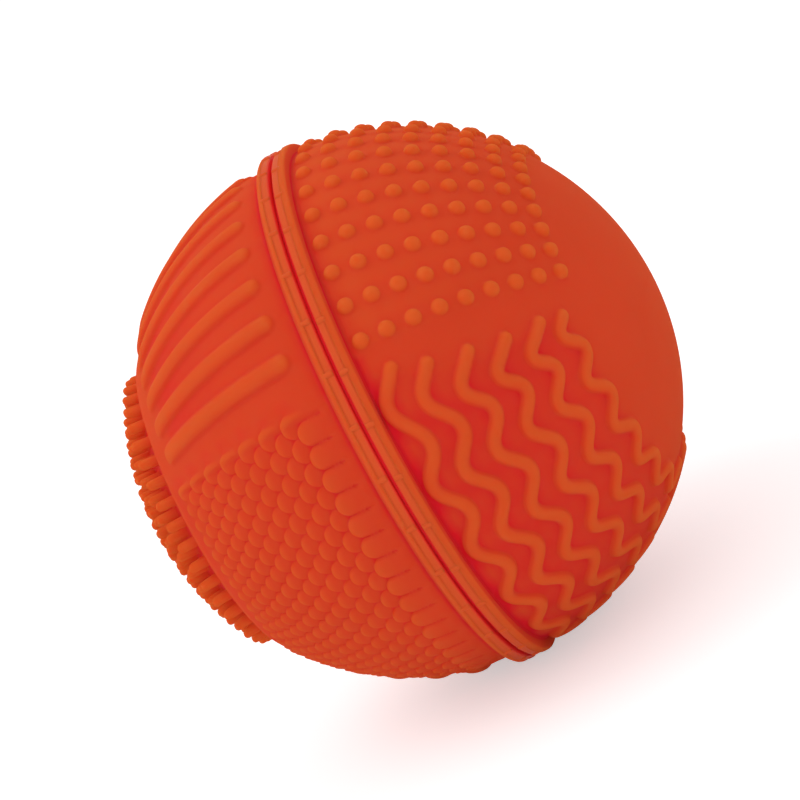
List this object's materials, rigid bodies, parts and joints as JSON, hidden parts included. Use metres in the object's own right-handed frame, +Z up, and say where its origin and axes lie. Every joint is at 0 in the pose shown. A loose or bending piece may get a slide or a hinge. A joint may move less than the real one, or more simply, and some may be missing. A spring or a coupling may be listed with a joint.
{
  "type": "sensory ball",
  "caption": "Soft ball of two textured half shells that twist and pull apart on a hidden ring, with ribs, scales, fingers, dots and wavy cords to feel.",
  "frame": {"origin": "centre of the ball, on the seam plane", "axes": "+X along the pole axis towards the pole of the dotted half, +Z up, with the seam upright so that the ball stands on its rims"},
  "size_m": [0.0984, 0.1, 0.1],
  "materials": {
    "silicone": "soft matt orange silicone with a slight sheen",
    "mouth_ring": "satin moulded plastic, a little redder than the shells",
    "joining_ring": "satin moulded plastic, dark"
  },
  "bodies": {
    "ribbed_half": {"ribbed_half_shell": "silicone", "ribbed_mouth_ring": "mouth_ring"},
    "ring": {"joining_ring": "joining_ring"},
    "dotted_half": {"dotted_half_shell": "silicone", "dotted_mouth_ring": "mouth_ring"}
  },
  "joints": [
    {"name": "half_turn", "type": "hinge", "parent": "ribbed_half", "child": "ring", "pos_m": [0, 0, 0], "axis": [1, 0, 0], "continuous": true},
    {"name": "half_pull", "type": "slide", "parent": "ring", "child": "dotted_half", "axis": [1, 0, 0], "range_m": [0, 0.012]}
  ]
}
